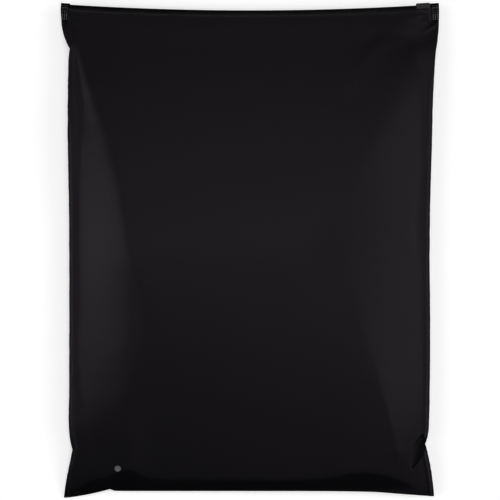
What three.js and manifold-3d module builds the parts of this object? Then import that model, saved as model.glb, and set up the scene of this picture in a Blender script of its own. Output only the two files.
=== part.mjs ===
// A resealable bag of black film with a slider zip, plump and closed, lying on its back.
// Millimetres, +Z up. The zip is along the +Y edge, and the origin is under the middle of the bag,
// on the surface that it lies on.
import * as THREE from "three";
import { mergeGeometries, mergeVertices } from "three/addons/utils/BufferGeometryUtils.js";
import Module from "manifold-3d";

const wasm = await Module();
wasm.setup();

// Bag as it lies
const bagWidth = 300; // across the zip, end to end
const bagHeight = 392; // from the tops of the crimped zip ends to the tips of the bottom corners
const bagThickness = 40; // from the surface under it to the crown of the front
const crownReach = 2.24; // how far above the crown the slopes of the front aim
const sideSeamRise = 17; // side seams above the surface, at mid height
const zipRise = 11; // zip above the surface
const footRise = { left: 2, right: 9.5 }; // bottom corners above the surface
const restSag = 0.3; // how far the back would hang below the surface that presses it flat
const zipLeveling = 62; // length over which a side seam comes down to the zip
const footLeveling = 92; // length over which it comes down to the bottom fold
const footCurl = 2.5; // a larger curl brings a bottom corner down later and faster

// Film edges
const seamThickness = 0.8; // the two panels where they lie together
const seamMargin = 3; // flat strip beside each side seam
const weldBead = 1.1; // thickness that the molten bead adds along a side seam
const weldBeadInset = 2.1; // bead's distance from the trimmed edge
const weldBeadWidth = 0.85;

// How far the filling draws each edge in between the corners
const leftPull = 6.9;
const rightPull = 7.5;
const footPull = 5.2;

// Corner ears: the flat film outside the filling. "side" runs along the side seam and "end" along
// the bottom fold, each from the corner's tip to the pucker where the ear meets the filling.
// tip is how far the tip itself is drawn in, relax is the length in which a pucker dies away.
const topLeft = { side: { length: 37.5, depth: 8.1, power: 2.6, relax: 5, tip: 0 }, reach: 26 };
const topRight = { side: { length: 37, depth: 3, power: 2.6, relax: 60, tip: 0 }, reach: 30 };
const bottomLeft = {
  side: { length: 38.5, depth: 9.7, power: 1.3, relax: 8, tip: 2.6 },
  end: { length: 37, depth: 6.9, power: 1.5, relax: 1.5, tip: 0 },
};
const bottomRight = {
  side: { length: 43, depth: 11.2, power: 1.5, relax: 6, tip: 4 },
  end: { length: 43, depth: 4.2, power: 1.1, relax: 20, tip: 1 },
};

// Slopes of the front panel, which swells in one long curve: run is the plan length from an edge to
// the height that the slope aims at, and a larger bend makes it steeper at the edge. The side slopes
// change to their low values in the lower half, and lead is how far above the film's edge the zip's
// slope starts.
const frontSlopes = {
  left: { run: 42.4, bend: 1.18, lowRun: 99.7, lowBend: 1.37 },
  right: { run: 174, bend: 3, lowRun: 66.7, lowBend: 1.2 },
  zip: { run: 240, bend: 1.8, lead: 5 },
  foot: { run: 261, bend: 2.07 },
};
const lowSlopes = { from: 10, to: -110 }; // heights between which the side slopes change
const crownSlack = { middle: 0.03, across: 0.084 }; // share of the rise left slack at the crown
const edgeToe = { seam: 0.03, zip: 0.006 }; // share of the rise in which the front leaves its edges
const zipToeFade = { from: 4, to: 30 }; // distances below the film's edge between which the toes change

// Where the front turns under along the bottom fold: its extra slope and width, and the wider places
const footTurn = { angle: 14.5, width: 8.5, softness: 0.7 };
const footBulges = [
  { at: -98, spread: 13, extra: 8.5 },
  { at: 90, spread: 26, extra: 6.8 },
  { at: -140, spread: 9, extra: -8 },
  { at: 140, spread: 16, extra: -8 },
];

// Flat film between a side seam and the foot of its slope, and the share of that slope's run, at each
// distance below the top. On the left they draw the ridge that runs down from the top left pucker.
const leftMargins = [
  { down: 30, margin: -1, share: 0.28 },
  { down: 50, margin: 4, share: 0.3 },
  { down: 78, margin: 9.6, share: 0.4 },
  { down: 95, margin: 10, share: 0.58 },
  { down: 115, margin: 8.6, share: 0.8 },
  { down: 150, margin: 7, share: 1 },
  { down: 235, margin: 7, share: 1 },
  { down: 275, margin: 4.2, share: 1 },
  { down: 315, margin: 3.8, share: 1 },
];
const rightMargins = [
  { down: 240, margin: 3.5, share: 1 },
  { down: 300, margin: 1.5, share: 1.25 },
  { down: 362, margin: 0, share: 2.5 },
  { down: 390, margin: 0, share: 3 },
];
const ridgeSharpness = { topLeft: 4.23, topRight: 8, foot: 16, crest: 2.2, crown: 2.21 }; // where slopes meet
const crestFade = { from: 0.15, to: 0.6 }; // slack between which the crest's sharpness turns into the foot's

// Slopes of the back panel, from the edges to where it lies flat on the surface
const backSlopes = {
  left: { run: 24, bend: 1.6 },
  right: { run: 24, bend: 1.6 },
  zip: { run: 46, bend: 1.5 },
  foot: { run: 22, bend: 1.8 },
  corner: { run: 22, bend: 1.5 },
};
const backSoftness = 0.16; // how far the slopes of the back round into each other
const slopeToe = 3; // length in which a slope leaves the flat film

// Folds of the front panel. from and to are measured from the corner named, inwards along the
// width and the height; a positive depth is a valley and a negative one a ridge.
const frontFolds = [
  { corner: "topRight", from: [17, 12], to: [59, 48], width: 6, depth: -1 },
  { corner: "topRight", from: [8, 26], to: [37, 47], width: 6, depth: 1 },
  { corner: "topRight", from: [12, 122], to: [18, 206], width: 3.6, depth: 0.8 },
  { corner: "bottomRight", from: [22, 25], to: [17, 42], width: 3.4, depth: 2.4 },
];

// Vent punched through the front panel
const ventDiameter = 5.2;
const ventDepth = 1.4;
const ventFromLeft = 45.3;
const ventFromFoot = 23.2;
const ventSides = 24;

// Zip: two strips that snap together, bowed a little by the filling
const zipBow = 5; // how far the zip's middle is drawn in from its ends
const zipSteps = 18;
const stripGap = 0.3; // between the two strips, and between a strip and what it sits in
const headHeight = 4; // strip above the film's edge
const headHalf = 1.75; // from the zip's middle plane to the outside of a head
const neckHalf = 1.15;
const neckHeight = 1.1; // the shoulder that the slider hooks under
const headChamfer = 0.5;
const grooveDepth = 1; // open groove along the top, between the heads
const grooveHalf = 0.6;
const flangeDepth = 8; // strip welded inside the film, below its edge
const flangeThickness = 0.4;
const mouthWall = 0.45; // film outside the flanges

// Interlock between the strips
const lockHeight = 2.05; // its middle, above the film's edge
const stemHalf = 0.2;
const barbHalf = 0.6;
const barbReach = 0.95; // tip of the barb beyond the zip's middle plane
const barbBack = 0.6; // back of the barb beyond the zip's middle plane
const barbTipHalf = 0.25;
const lockClearance = 0.2;

// Crimped zip ends, pressed flat between knurled jaws
const crimpLength = 6.6;
const crimpRise = 5; // above the film's edge
const crimpGap = 0.05; // between the film's edge and the pressed ends of the strips
const crimpHalf = 0.75;
const crimpOverlap = 0.5; // length in which a crimp runs into its strip
const crimpDrop = 9.4; // knurled height below the film's edge
const flangeSetback = 2.4; // from the crimp to the start of the flange
const lockSetback = 1.2; // from the crimp to the start of the interlock
const knurlPitch = 1.7;
const knurlWidth = 1.05;
const knurlHeight = 0.35;
const knurlInset = 1.35; // from the crimp's outer end to the first column
const knurlColumns = 3;

// Slider
const sliderLength = 10.6;
const sliderWall = 0.95;
const sliderRoof = 1.3;
const sliderClearance = 0.3;
const sliderLip = 0.4; // height of the lips under the shoulders
const sliderChamfer = 1;
const keelDepth = 0.7; // separator that runs in the groove between the heads
const keelRootHalf = 0.25;
const keelTipHalf = 0.1;
const gripLength = 5.4;
const gripHeight = 2.9;
const gripDepth = 0.35;
const gripRadius = 0.6;

// Values worked out from the sizes above
const halfWidth = bagWidth / 2;
const halfHeight = bagHeight / 2;
const filmEndY = halfHeight - crimpRise; // film's top edge at the ends of the zip
const zipRadius = (halfWidth * halfWidth + zipBow * zipBow) / (2 * zipBow);
const zipCentreY = filmEndY - zipBow + zipRadius;
const seamHalf = seamThickness / 2;
const frontAim = bagThickness + crownReach;
const flangeHalf = stripGap / 2 + flangeThickness;
const mouthHalf = flangeHalf + stripGap + mouthWall;
const crimpStart = halfWidth - crimpLength;
const sides = { topLeft: [-1, 1], topRight: [1, 1], bottomLeft: [-1, -1], bottomRight: [1, -1] };

const filmMaterial = new THREE.MeshStandardMaterial({ color: 0x1b191b, roughness: 0.55, metalness: 0 });
const zipMaterial = new THREE.MeshStandardMaterial({ color: 0x0c0c0d, roughness: 0.35, metalness: 0 });
const sliderMaterial = new THREE.MeshStandardMaterial({ color: 0x272728, roughness: 0.4, metalness: 0 });

// Solids
function toSolid(geometry) {
  const plain = geometry.clone();
  plain.deleteAttribute("normal");
  plain.deleteAttribute("uv");
  const merged = mergeVertices(plain, 1e-4);
  return new wasm.Manifold(
    new wasm.Mesh({
      numProp: 3,
      vertProperties: merged.attributes.position.array,
      triVerts: new Uint32Array(merged.index.array),
    }),
  );
}

function toMesh(name, solid, material) {
  const made = solid.getMesh();
  const geometry = new THREE.BufferGeometry();
  geometry.setAttribute("position", new THREE.BufferAttribute(made.vertProperties, 3));
  geometry.setIndex(new THREE.BufferAttribute(made.triVerts, 1));
  geometry.computeVertexNormals();
  const mesh = new THREE.Mesh(geometry, material);
  mesh.name = name;
  return mesh;
}

function shapeOf(points) {
  return new THREE.Shape(points.map(([x, y]) => new THREE.Vector2(x, y)));
}

// Zip line: an arc about a centre far above the bag. height is measured from the film's top edge.
function zipAngle(x) {
  return Math.asin(x / zipRadius);
}

function filmTop(x) {
  return zipCentreY - Math.sqrt(zipRadius * zipRadius - x * x);
}

class ZipLine extends THREE.Curve {
  constructor(endX) {
    super();
    this.endAngle = zipAngle(endX);
  }
  getPoint(t, target = new THREE.Vector3()) {
    const angle = (2 * t - 1) * this.endAngle;
    return target.set(zipRadius * Math.sin(angle), zipCentreY - zipRadius * Math.cos(angle), zipRise);
  }
}

// Turns a group about the zip's centre, so that its own X runs along the zip at x
function placeOnZip(object, x) {
  const angle = zipAngle(x);
  object.position.set(x, filmTop(x), zipRise);
  object.rotation.z = angle;
  object.updateMatrix();
  return object;
}

// Outline of the film
function edgeDraw(fromStart, fromEnd, start, end, pull) {
  const ear = (from, { length, depth, power, tip }) =>
    tip + (depth - tip) * Math.pow(Math.max(0, from) / length, power);
  if (fromStart <= start.length) {
    return ear(fromStart, start);
  }
  if (fromEnd <= end.length) {
    return ear(fromEnd, end);
  }
  const fadeStart = Math.exp((start.length - fromStart) / start.relax);
  const fadeEnd = Math.exp((end.length - fromEnd) / end.relax);
  return pull + (start.depth - pull) * fadeStart + (end.depth - pull) * fadeEnd;
}

function leftEdge(y) {
  return -halfWidth + edgeDraw(halfHeight - y, halfHeight + y, topLeft.side, bottomLeft.side, leftPull);
}

function rightEdge(y) {
  return halfWidth - edgeDraw(halfHeight - y, halfHeight + y, topRight.side, bottomRight.side, rightPull);
}

function footEdge(x) {
  const fromLeft = x + halfWidth - bottomLeft.side.tip;
  const fromRight = halfWidth - bottomRight.side.tip - x;
  return -halfHeight + edgeDraw(fromLeft, fromRight, bottomLeft.end, bottomRight.end, footPull);
}

// Height of the seam plane, and the half thickness of the film where the panels lie together
const smooth = THREE.MathUtils.smoothstep;

function seamPlane(x, y) {
  const clamp = THREE.MathUtils.clamp;
  const footLevel = THREE.MathUtils.lerp(footRise.left, footRise.right, (x + halfWidth) / bagWidth);
  const zipDepth = Math.max(flangeDepth + stripGap + mouthWall, crimpDrop + knurlPitch);
  const belowZip = filmTop(x) - y - zipDepth;
  const nearZip = Math.pow(1 - clamp(belowZip / zipLeveling, 0, 1), 2);
  const nearFoot = Math.pow(1 - clamp((halfHeight + y) / footLeveling, 0, 1), footCurl);
  return sideSeamRise + (zipRise - sideSeamRise) * nearZip + (footLevel - sideSeamRise) * nearFoot;
}

function edgeHalf(x, y) {
  const belowTop = filmTop(x) - y;
  const fromSide = Math.min(x - leftEdge(y), rightEdge(y) - x);
  const nearMouth = 1 - smooth(belowTop, flangeDepth + stripGap + mouthWall, 2 * flangeDepth);
  const inCrimp = smooth(Math.abs(x), crimpStart - flangeSetback / 2, crimpStart);
  const crimped = (1 - smooth(belowTop, crimpDrop, crimpDrop + knurlPitch)) * inCrimp;
  const bead = (weldBead / 2) * Math.exp(-(((fromSide - weldBeadInset) / weldBeadWidth) ** 2));
  const seam = seamHalf + bead * (1 - nearMouth);
  const mouth = THREE.MathUtils.lerp(seam, mouthHalf, nearMouth * (1 - inCrimp));
  return THREE.MathUtils.lerp(mouth, crimpHalf, crimped);
}

// Slope of a panel, 0 at its edge and 1 where its run ends
function rise(distance, { run, bend }) {
  const inside = Math.max(0, distance);
  const eased = (inside * inside) / (inside + slopeToe);
  const share = Math.min(1, eased / run);
  return 1 - Math.pow(1 - share, bend);
}

function softMin(a, b, softness) {
  const low = Math.min(a, b);
  const near = Math.max(0, 1 - Math.abs(a - b) / softness);
  return low - softness * near * near * low * (1 - low);
}

// Distance inside the line from p to q, which has the bag on its left
function insideLine(x, y, [px, py], [qx, qy]) {
  const length = Math.hypot(qx - px, qy - py);
  return ((qx - px) * (y - py) - (qy - py) * (x - px)) / length;
}

function cornerLines() {
  const top = halfHeight;
  const foot = -halfHeight;
  const zipLow = (x) => filmTop(x) - flangeDepth;
  const topLeftX = -halfWidth + topLeft.side.depth + topLeft.reach;
  const topRightX = halfWidth - topRight.side.depth - topRight.reach;
  const bottomLeftX = -halfWidth + bottomLeft.side.tip + bottomLeft.end.length;
  const bottomRightX = halfWidth - bottomRight.side.tip - bottomRight.end.length;
  return [
    [[topLeftX, zipLow(topLeftX)], [-halfWidth + topLeft.side.depth, top - topLeft.side.length]],
    [[halfWidth - topRight.side.depth, top - topRight.side.length], [topRightX, zipLow(topRightX)]],
    [
      [-halfWidth + bottomLeft.side.depth, foot + bottomLeft.side.length],
      [bottomLeftX, foot + bottomLeft.end.depth],
    ],
    [
      [bottomRightX, foot + bottomRight.end.depth],
      [halfWidth - bottomRight.side.depth, foot + bottomRight.side.length],
    ],
  ];
}
const earLines = cornerLines();

function backFullness(x, y) {
  const fromSides = [
    rise(x + halfWidth - leftPull - seamMargin, backSlopes.left),
    rise(halfWidth - rightPull - seamMargin - x, backSlopes.right),
    rise(filmTop(x) - flangeDepth - mouthWall - y, backSlopes.zip),
    rise(y + halfHeight - footPull, backSlopes.foot),
  ];
  const fromCorners = earLines.map(([p, q]) => rise(insideLine(x, y, p, q), backSlopes.corner));
  return [...fromSides, ...fromCorners].reduce((a, b) => softMin(a, b, backSoftness));
}

// Slack of the front panel, 1 at its edges and 0 where it is full. A larger sharpness keeps two
// slopes apart along the ridge between them.
function joined(slacks, sharpness) {
  const sum = slacks.reduce((total, slack) => total + Math.pow(slack, sharpness), 0);
  return Math.pow(sum, 1 / sharpness);
}

function sideSlack(distance, y, side, stops) {
  const { margin, share } = marginAt(halfHeight - y, stops);
  const low = smooth(-y, -lowSlopes.from, -lowSlopes.to);
  const run = THREE.MathUtils.lerp(side.run, side.lowRun, low) * share;
  const bend = THREE.MathUtils.lerp(side.bend, side.lowBend, low);
  return 1 - rise(distance - margin, { run, bend });
}

function marginAt(down, stops) {
  const after = stops.findIndex((stop) => stop.down > down);
  if (after < 1) {
    return after < 0 ? stops.at(-1) : stops[0];
  }
  const [a, b] = [stops[after - 1], stops[after]];
  const t = (down - a.down) / (b.down - a.down);
  const between = THREE.MathUtils.lerp;
  return { margin: between(a.margin, b.margin, t), share: between(a.share, b.share, t) };
}

function footSlack(x, above, base) {
  const edge = seamPlane(x, footPull - halfHeight) + seamHalf;
  const wider = footBulges.map(({ at, spread, extra }) => extra * Math.exp(-(((x - at) / spread) ** 2)));
  const width = wider.reduce((a, b) => a + b, footTurn.width);
  const slope = Math.tan(THREE.MathUtils.degToRad(footTurn.angle));
  const left = footTurn.softness * Math.log1p(Math.exp((width - above) / footTurn.softness));
  const far = Math.pow(Math.max(0, 1 - above / frontSlopes.foot.run), frontSlopes.foot.bend);
  const below = slope * left + (frontAim - edge - slope * width) * far;
  return THREE.MathUtils.clamp(below / (frontAim - base), 0, 1);
}

function zipSlack(belowTop, base) {
  const { lead, run, bend } = frontSlopes.zip;
  const below = (frontAim - zipRise - mouthHalf) * (1 - rise(belowTop + lead, { run, bend }));
  return THREE.MathUtils.clamp(below / (frontAim - base), 0, 1);
}

function frontFullness(x, y, base) {
  const { left, right } = frontSlopes;
  const sharp = ridgeSharpness;
  const belowTop = filmTop(x) - y;
  const fromZip = zipSlack(belowTop, base);
  const fromLeft = sideSlack(x + halfWidth - leftPull, y, left, leftMargins);
  const fromRight = sideSlack(halfWidth - rightPull - x, y, right, rightMargins);
  const fromFoot = footSlack(x, y + halfHeight - footPull, base);
  const upper = joined([joined([fromLeft, fromZip], sharp.topLeft), fromRight], sharp.topRight);
  const near = smooth(Math.max(upper, fromFoot), crestFade.from, crestFade.to);
  const edges = joined([upper, fromFoot], THREE.MathUtils.lerp(sharp.crest, sharp.foot, near));
  const crown = crownSlack.middle + crownSlack.across * (x / halfWidth) ** 2;
  const full = Math.max(0, 1 - joined([edges, crown], sharp.crown));
  const away = smooth(belowTop, zipToeFade.from, zipToeFade.to);
  const toe = THREE.MathUtils.lerp(edgeToe.zip, edgeToe.seam, away);
  return (Math.hypot(full, toe) - toe) / (Math.hypot(1 - crownSlack.middle, toe) - toe);
}

function foldDepth(x, y) {
  let depth = 0;
  for (const fold of frontFolds) {
    const [sideX, sideY] = sides[fold.corner];
    const [px, py] = [sideX * (halfWidth - fold.from[0]), sideY * (halfHeight - fold.from[1])];
    const [qx, qy] = [sideX * (halfWidth - fold.to[0]), sideY * (halfHeight - fold.to[1])];
    const lengthSquared = (qx - px) ** 2 + (qy - py) ** 2;
    const along = ((x - px) * (qx - px) + (y - py) * (qy - py)) / lengthSquared;
    const nearest = THREE.MathUtils.clamp(along, 0, 1);
    const across = Math.hypot(x - px - nearest * (qx - px), y - py - nearest * (qy - py));
    depth += fold.depth * Math.exp(-((across / fold.width) ** 2)) * (1 - nearest * nearest);
  }
  return depth;
}

function frontHeight(x, y) {
  const base = seamPlane(x, y) + edgeHalf(x, y);
  const full = frontFullness(x, y, base);
  const folds = foldDepth(x, y) * Math.min(1, 2 * full);
  return base + (frontAim - base) * full - folds;
}

function backHeight(x, y) {
  const empty = 1 - backFullness(x, y);
  return (seamPlane(x, y) - edgeHalf(x, y) + restSag) * empty - restSag;
}

// Distances from an edge to the middle, the first ones given and the rest wider and wider
function halfStops(half, first, growth, widest) {
  const stops = [...first];
  let step = first.at(-1) - first.at(-2);
  while (stops.at(-1) < half) {
    step = Math.min(step * growth, widest);
    stops.push(stops.at(-1) + step);
  }
  const fixed = first.at(-1);
  const stretch = (half - fixed) / (stops.at(-1) - fixed);
  return stops.map((d) => (d > fixed ? fixed + (d - fixed) * stretch : d));
}

function shares(length, near, far) {
  const distances = [...near, ...far.map((d) => length - d).reverse().slice(1)];
  return distances.map((d) => d / length);
}

function acrossShares() {
  const bead = [0, weldBeadInset / 2, weldBeadInset, weldBeadInset + weldBeadWidth, seamMargin];
  const crimp = [crimpLength, crimpLength + flangeSetback / 2, crimpLength + flangeSetback + 1];
  const half = halfStops(halfWidth, [...bead, ...crimp], 1.25, 18);
  return shares(bagWidth, half, half);
}

function downShares() {
  const length = filmEndY + halfHeight;
  const mouth = [0, crimpDrop / 2, crimpDrop, crimpDrop + knurlPitch, 2 * flangeDepth];
  const top = halfStops(length / 2, mouth, 1.08, 18);
  const foot = halfStops(length / 2, [0, 1.6], 1.25, 18);
  return shares(length, top, foot);
}

// Plan position at a share of the width from the left and of the height from the zip,
// blended from the four edges
function planPoint(u, v) {
  const lerp = THREE.MathUtils.lerp;
  const footY = [-halfHeight + bottomLeft.end.tip, -halfHeight + bottomRight.end.tip];
  const leftY = lerp(filmEndY, footY[0], v);
  const rightY = lerp(filmEndY, footY[1], v);
  const topX = lerp(leftEdge(filmEndY), rightEdge(filmEndY), u);
  const footX = lerp(leftEdge(footY[0]), rightEdge(footY[1]), u);
  const topBow = filmTop(topX) - filmEndY;
  const footBow = footEdge(footX) - lerp(footY[0], footY[1], u);
  const x = lerp(leftEdge(leftY), rightEdge(rightY), u);
  const y = lerp(leftY, rightY, u) + lerp(topBow, footBow, v);
  return [x, y];
}

// Pouch: the front and back panels with the rim between them. Each cell of a panel is split along
// the ear line of its own corner.
function panel(across, down, heightOf, facesUp) {
  const sheet = new THREE.PlaneGeometry(1, 1, across.length - 1, down.length - 1);
  const position = sheet.attributes.position;
  const index = [];
  down.forEach((v, row) => {
    across.forEach((u, column) => {
      const here = row * across.length + column;
      const [x, y] = planPoint(u, v);
      position.setXYZ(here, x, y, heightOf(x, y));
      if (row === 0 || column === 0) {
        return;
      }
      const [a, b, c, d] = [here - across.length - 1, here - 1, here, here - across.length];
      const falling = u <= 0.5 === v > 0.5;
      const halves = falling ? [a, b, c, a, c, d] : [a, b, d, b, c, d];
      index.push(...(facesUp ? halves : halves.reverse()));
    });
  });
  sheet.setIndex(index);
  return sheet;
}

function rim(across, down) {
  const loop = [
    ...across.map((u) => [u, 1]),
    ...down.slice(0, -1).reverse().map((v) => [1, v]),
    ...across.slice(0, -1).reverse().map((u) => [u, 0]),
    ...down.slice(1).map((v) => [0, v]),
  ];
  const band = new THREE.PlaneGeometry(1, 1, loop.length - 1, 1);
  loop.forEach(([u, v], column) => {
    const [x, y] = planPoint(u, v);
    band.attributes.position.setXYZ(column, x, y, frontHeight(x, y));
    band.attributes.position.setXYZ(column + loop.length, x, y, backHeight(x, y));
  });
  return band;
}

function ventCutter() {
  const x = -halfWidth + ventFromLeft;
  const y = -halfHeight + ventFromFoot;
  const height = bagThickness;
  const bore = new THREE.CylinderGeometry(ventDiameter / 2, ventDiameter / 2, height, ventSides);
  bore.rotateX(Math.PI / 2);
  bore.translate(x, y, frontHeight(x, y) - ventDepth + height / 2);
  return toSolid(bore);
}

// Pointed pips left by the jaws, standing on the faces at plus and minus half from the zip's plane
function knurls(rows, half, faces) {
  const pips = [];
  for (const end of [-1, 1]) {
    for (let column = 0; column < knurlColumns; column++) {
      const x = end * (halfWidth - knurlInset - column * knurlPitch);
      for (const height of rows) {
        for (const face of faces) {
          const pip = new THREE.ConeGeometry(knurlWidth / Math.SQRT2, knurlHeight, 4, 1);
          pip.rotateY(Math.PI / 4);
          pip.rotateX((face * Math.PI) / 2);
          pip.translate(0, height, face * (half + knurlHeight / 2 - knurlHeight / 8));
          pip.applyMatrix4(placeOnZip(new THREE.Group(), x).matrix);
          pips.push(toSolid(pip));
        }
      }
    }
  }
  return wasm.Manifold.union(pips);
}

function pouch() {
  const across = acrossShares();
  const down = downShares();
  const skin = mergeGeometries([
    panel(across, down, frontHeight, true),
    panel(across, down, backHeight, false),
    rim(across, down),
  ]);
  const slotHalf = flangeHalf + stripGap;
  const slotLow = -flangeDepth - stripGap;
  const slot = sweep(
    [[-slotHalf, slotLow], [slotHalf, slotLow], [slotHalf, headHeight], [-slotHalf, headHeight]],
    crimpStart - flangeSetback + stripGap,
  );
  const rows = [];
  for (let height = -knurlWidth; height > -crimpDrop + knurlWidth / 2; height -= knurlPitch) {
    rows.push(height);
  }
  const film = toSolid(skin).add(knurls(rows, crimpHalf, [-1, 1]));
  const resting = film.trimByPlane([0, 0, 1], 0);
  return toMesh("pouch", resting.subtract(slot).subtract(ventCutter()), filmMaterial);
}

// Zip strips. Sections are drawn as distance in front of the zip's plane and height above the film.
function sweep(section, endX) {
  const shape = shapeOf(section.map(([front, height]) => [-front, height]));
  const path = new ZipLine(endX);
  return toSolid(new THREE.ExtrudeGeometry(shape, { steps: zipSteps, extrudePath: path }));
}

function crimpTab(end, face) {
  const inner = stripGap / 2;
  const length = crimpLength + crimpOverlap;
  const tab = new THREE.BoxGeometry(length, crimpRise - crimpGap, crimpHalf - inner);
  tab.translate(0, (crimpRise + crimpGap) / 2, (face * (crimpHalf + inner)) / 2);
  const middle = halfWidth - length / 2;
  tab.applyMatrix4(placeOnZip(new THREE.Group(), end * middle).matrix);
  return toSolid(tab);
}

function strip(face) {
  const inner = stripGap / 2;
  const headSection = [
    [inner, stripGap],
    [neckHalf, stripGap],
    [neckHalf, neckHeight],
    [headHalf, neckHeight],
    [headHalf, headHeight - headChamfer],
    [headHalf - headChamfer, headHeight],
    [grooveHalf, headHeight],
    [inner, headHeight - grooveDepth],
  ];
  const flangeSection = [
    [inner, -flangeDepth],
    [flangeHalf, -flangeDepth],
    [flangeHalf, neckHeight],
    [inner, neckHeight],
  ];
  const turn = (section) => section.map(([front, height]) => [face * front, height]);
  const rows = [];
  for (let height = stripGap + knurlWidth; height < crimpRise - knurlWidth / 2; height += knurlPitch) {
    rows.push(height);
  }
  return sweep(turn(headSection), crimpStart)
    .add(sweep(turn(flangeSection), crimpStart - flangeSetback))
    .add(crimpTab(-1, face))
    .add(crimpTab(1, face))
    .add(knurls(rows, crimpHalf, [face]));
}

function frontStrip() {
  const rib = [
    [neckHalf / 2, lockHeight + stemHalf],
    [-barbBack, lockHeight + stemHalf],
    [-barbBack, lockHeight + barbHalf],
    [-barbReach, lockHeight + barbTipHalf],
    [-barbReach, lockHeight - barbTipHalf],
    [-barbBack, lockHeight - barbHalf],
    [-barbBack, lockHeight - stemHalf],
    [neckHalf / 2, lockHeight - stemHalf],
  ];
  const solid = strip(1).add(sweep(rib, crimpStart - lockSetback));
  return toMesh("front_zip_strip", solid, zipMaterial);
}

function rearStrip() {
  const mouth = stemHalf + lockClearance;
  const room = barbHalf + lockClearance;
  const lip = barbBack - lockClearance;
  const deep = barbReach + lockClearance;
  const groove = [
    [0, lockHeight - mouth],
    [-lip, lockHeight - mouth],
    [-lip, lockHeight - room],
    [-deep + lockClearance, lockHeight - room],
    [-deep, lockHeight - barbHalf + lockClearance / 2],
    [-deep, lockHeight + barbHalf - lockClearance / 2],
    [-deep + lockClearance, lockHeight + room],
    [-lip, lockHeight + room],
    [-lip, lockHeight + mouth],
    [0, lockHeight + mouth],
  ];
  const solid = strip(-1).subtract(sweep(groove, crimpStart - lockSetback + stripGap));
  return toMesh("rear_zip_strip", solid, zipMaterial);
}

// Slider, parked against the right crimp, which is the closed end
function slider() {
  const outer = headHalf + sliderClearance + sliderWall;
  const inner = headHalf + sliderClearance;
  const lipHalf = neckHalf + sliderClearance;
  const ceiling = headHeight + sliderClearance;
  const top = ceiling + sliderRoof;
  const lipTop = neckHeight - sliderClearance;
  const low = lipTop - sliderLip;
  const edge = sliderChamfer / 2;
  const half = [
    [lipHalf, low],
    [outer - edge / 2, low],
    [outer, low + edge / 2],
    [outer, top - edge],
    [outer - edge, top],
  ];
  const inside = [
    [keelTipHalf, ceiling - keelDepth],
    [keelRootHalf, ceiling],
    [inner, ceiling],
    [inner, lipTop],
    [lipHalf, lipTop],
  ];
  const mirrored = (points) => points.map(([across, height]) => [-across, height]).reverse();
  const section = shapeOf([...half, ...mirrored(half), ...mirrored(inside), ...inside]);
  const body = new THREE.ExtrudeGeometry(section, { depth: sliderLength, bevelEnabled: false });
  body.translate(0, 0, -sliderLength / 2);
  body.rotateY(Math.PI / 2);

  const end = sliderLength / 2;
  const outline = shapeOf([
    [-end + edge, low],
    [end - edge, low],
    [end, low + edge],
    [end, top - sliderChamfer],
    [end - edge, top],
    [-end + sliderChamfer, top],
    [-end, top - sliderChamfer],
    [-end, low + edge],
  ]);
  const block = new THREE.ExtrudeGeometry(outline, { depth: 4 * outer, bevelEnabled: false });
  block.translate(0, 0, -2 * outer);

  let solid = toSolid(body).intersect(toSolid(block));
  for (const face of [-1, 1]) {
    solid = solid.subtract(gripCutter(face * outer, (low + top - edge) / 2));
  }
  const matrix = placeOnZip(new THREE.Group(), parkedX).matrix;
  return toMesh("slider", solid.transform(matrix.elements), sliderMaterial);
}

function gripCutter(faceZ, middle) {
  const [w, h, r] = [gripLength / 2, gripHeight / 2, gripRadius];
  const shape = new THREE.Shape();
  shape.moveTo(-w + r, -h);
  shape.lineTo(w - r, -h).absarc(w - r, -h + r, r, -Math.PI / 2, 0);
  shape.lineTo(w, h - r).absarc(w - r, h - r, r, 0, Math.PI / 2);
  shape.lineTo(-w + r, h).absarc(-w + r, h - r, r, Math.PI / 2, Math.PI);
  shape.lineTo(-w, -h + r).absarc(-w + r, -h + r, r, Math.PI, 1.5 * Math.PI);
  const options = { depth: 2 * gripDepth, bevelEnabled: false, curveSegments: 4 };
  const pocket = new THREE.ExtrudeGeometry(shape, options);
  pocket.translate(0, middle, faceZ - gripDepth);
  return toSolid(pocket);
}

const parkedX = crimpStart - crimpOverlap - sliderClearance - sliderLength / 2;

const bag = new THREE.Group();
bag.name = "resealable_bag";
bag.add(pouch(), frontStrip(), rearStrip(), slider());
export default bag;
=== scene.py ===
import math

import bmesh
import bpy
from mathutils import Matrix, Vector, noise


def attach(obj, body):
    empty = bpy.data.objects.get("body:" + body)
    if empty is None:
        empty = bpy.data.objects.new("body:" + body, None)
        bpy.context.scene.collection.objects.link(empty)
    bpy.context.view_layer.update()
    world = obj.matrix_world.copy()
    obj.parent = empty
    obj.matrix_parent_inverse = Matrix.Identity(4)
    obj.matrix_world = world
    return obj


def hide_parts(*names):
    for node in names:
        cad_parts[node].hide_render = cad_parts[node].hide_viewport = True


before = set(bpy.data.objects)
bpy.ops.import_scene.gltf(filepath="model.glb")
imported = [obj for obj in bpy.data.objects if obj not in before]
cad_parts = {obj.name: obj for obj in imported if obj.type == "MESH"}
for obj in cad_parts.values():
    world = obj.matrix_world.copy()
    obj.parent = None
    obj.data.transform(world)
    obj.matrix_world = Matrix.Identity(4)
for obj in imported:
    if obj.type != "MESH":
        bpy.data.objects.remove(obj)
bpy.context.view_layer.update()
mm = 0.001
print("frame loaded")


def clamp(value, low=0.0, high=1.0):
    return max(low, min(high, value))


def lerp(a, b, t):
    return a + (b - a) * t


def smooth(value, low, high):
    t = clamp((value - low) / (high - low))
    return t * t * (3 - 2 * t)


def ripple(x, y, z=0.0):  # smooth noise; a fixed y or z picks one run of it
    return noise.noise(Vector((x, y, z)))


def newObject(name, bm, materials):
    mesh = bpy.data.meshes.new(name)
    bm.to_mesh(mesh)
    bm.free()
    for material in materials:
        mesh.materials.append(material)
    made = bpy.data.objects.new(name, mesh)
    bpy.context.scene.collection.objects.link(made)
    return made


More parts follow.
